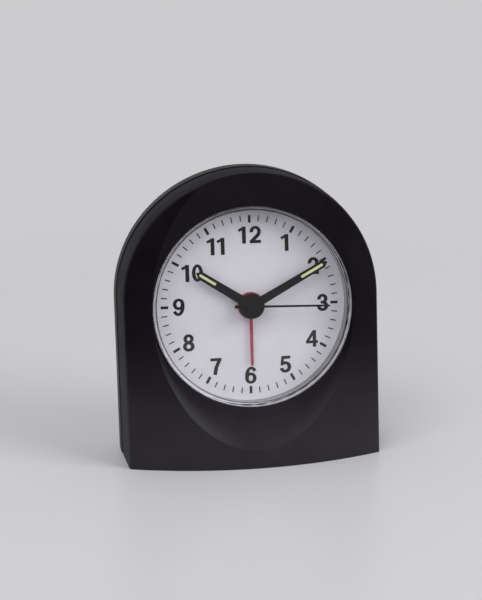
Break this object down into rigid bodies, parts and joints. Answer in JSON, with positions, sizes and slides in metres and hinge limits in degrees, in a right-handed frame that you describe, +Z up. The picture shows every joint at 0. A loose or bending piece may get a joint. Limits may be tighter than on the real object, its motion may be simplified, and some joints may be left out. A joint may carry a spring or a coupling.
{
  "type": "quartz alarm clock",
  "caption": "Bedside alarm clock: leaning arched case with a bowed front, a round dial under a clear crystal, a geared quartz movement and rear controls.",
  "frame": {"origin": "centre of the footprint on the table, at the underside of the case", "axes": "+Z up, the dial faces -Y, +X to the right of someone who reads the dial"},
  "size_m": [0.091, 0.0502, 0.0993],
  "materials": {
    "case": "fine satin texture",
    "clear": "clear moulded plastic, polished",
    "dial": "matt printed white",
    "hands": "black paint",
    "second": "black paint",
    "alarm": "red paint",
    "lume": "pale yellow-green luminous paste",
    "movement": "moulded",
    "wheels": "moulded acetal",
    "magnet": "sintered magnet",
    "iron": "stamped soft iron",
    "copper": "enamelled copper wire",
    "board": "phenolic board",
    "resin": "cast resin",
    "can": "plated can",
    "brass": "rolled sheet",
    "cell": "printed steel can, left plain",
    "contact": "nickel plated strip",
    "screw": "zinc plated"
  },
  "bodies": {
    "case_and_movement": {"front_case": "case", "rear_cover": "case", "crystal": "clear", "dial": "dial", "movement_base": "movement", "movement_bridge": "movement", "movement_cover": "movement", "stator": "iron", "coil_core": "iron", "coil_bobbin": "wheels", "coil_winding": "copper", "circuit_board": "board", "timing_chip": "resin", "quartz_can": "can", "snooze_contact": "movement", "alarm_contact": "movement", "buzzer_disc": "brass", "aa_cell": "cell", "positive_contact": "contact", "negative_contact": "contact", "case_screws": "screw", "movement_screws": "screw"},
    "seconds_train": {"seconds_wheel": "wheels", "second_hand": "second"},
    "rotor": {"rotor_magnet": "magnet", "rotor_pinion": "wheels"},
    "intermediate": {"intermediate_wheel": "wheels"},
    "third": {"third_wheel": "wheels"},
    "minute_train": {"centre_wheel": "wheels", "cannon_pinion": "wheels", "minute_hand": "hands", "minute_hand_lume": "lume"},
    "motion": {"motion_wheel": "wheels"},
    "hour_train": {"hour_wheel": "wheels", "hour_hand": "hands", "hour_hand_lume": "lume"},
    "alarm_train": {"alarm_wheel": "wheels", "alarm_hand": "alarm"},
    "time_setting": {"time_set_arbor": "wheels", "time_set_knob": "case"},
    "alarm_setting": {"alarm_set_arbor": "wheels", "alarm_set_knob": "case"},
    "snooze": {"snooze_button": "case"},
    "alarm_slider": {"alarm_switch": "case"},
    "door": {"battery_door": "case"}
  },
  "joints": [
    {"name": "seconds_turn", "type": "hinge", "parent": "case_and_movement", "child": "seconds_train", "pos_m": [0, -0.00424, 0.0523], "axis": [0, 0.9866, -0.1633], "continuous": true},
    {"name": "rotor_turn", "type": "hinge", "parent": "case_and_movement", "child": "rotor", "pos_m": [0.00463, -0.00651, 0.03857], "axis": [0, 0.9866, -0.1633], "continuous": true},
    {"name": "intermediate_turn", "type": "hinge", "parent": "case_and_movement", "child": "intermediate", "pos_m": [0, -0.00561, 0.04401], "axis": [0, 0.9866, -0.1633], "continuous": true},
    {"name": "third_turn", "type": "hinge", "parent": "case_and_movement", "child": "third", "pos_m": [0, -0.00283, 0.06078], "axis": [0, 0.9866, -0.1633], "continuous": true},
    {"name": "minute_turn", "type": "hinge", "parent": "case_and_movement", "child": "minute_train", "pos_m": [0, -0.00424, 0.0523], "axis": [0, 0.9866, -0.1633], "continuous": true},
    {"name": "motion_turn", "type": "hinge", "parent": "case_and_movement", "child": "motion", "pos_m": [-0.0084, -0.00423, 0.05232], "axis": [0, 0.9866, -0.1633], "continuous": true},
    {"name": "hour_turn", "type": "hinge", "parent": "case_and_movement", "child": "hour_train", "pos_m": [0, -0.00424, 0.0523], "axis": [0, 0.9866, -0.1633], "continuous": true},
    {"name": "time_knob_turn", "type": "hinge", "parent": "case_and_movement", "child": "time_setting", "pos_m": [-0.0158, -0.00359, 0.05625], "axis": [0, 0.9866, -0.1633], "continuous": true},
    {"name": "alarm_hand_turn", "type": "hinge", "parent": "case_and_movement", "child": "alarm_train", "pos_m": [0, -0.00424, 0.0523], "axis": [0, 0.9866, -0.1633], "continuous": true},
    {"name": "alarm_knob_turn", "type": "hinge", "parent": "case_and_movement", "child": "alarm_setting", "pos_m": [0.01151, -0.00368, 0.05566], "axis": [0, 0.9866, -0.1633], "continuous": true},
    {"name": "snooze_press", "type": "slide", "parent": "case_and_movement", "child": "snooze", "axis": [0, -0.9866, 0.1633], "range_m": [0, 0.0014], "stiffness_N_per_m": 900, "springref_m": -0.0012},
    {"name": "alarm_switch_slide", "type": "slide", "parent": "case_and_movement", "child": "alarm_slider", "axis": [1, 0, 0], "range_m": [0, 0.004]},
    {"name": "battery_door_hinge", "type": "hinge", "parent": "case_and_movement", "child": "door", "pos_m": [0, 0.00912, 0.00286], "axis": [-1, 0, 0], "range_deg": [0, 78]}
  ],
  "couplings": [
    {"joint": "intermediate_turn", "follows": "seconds_turn", "ratio": -6},
    {"joint": "rotor_turn", "follows": "seconds_turn", "ratio": 30},
    {"joint": "third_turn", "follows": "seconds_turn", "ratio": -0.13333},
    {"joint": "minute_turn", "follows": "seconds_turn", "ratio": 0.016667},
    {"joint": "motion_turn", "follows": "seconds_turn", "ratio": -0.0055556},
    {"joint": "hour_turn", "follows": "seconds_turn", "ratio": 0.0013889},
    {"joint": "time_knob_turn", "follows": "seconds_turn", "ratio": 0.016667},
    {"joint": "alarm_knob_turn", "follows": "alarm_hand_turn", "ratio": -4}
  ]
}
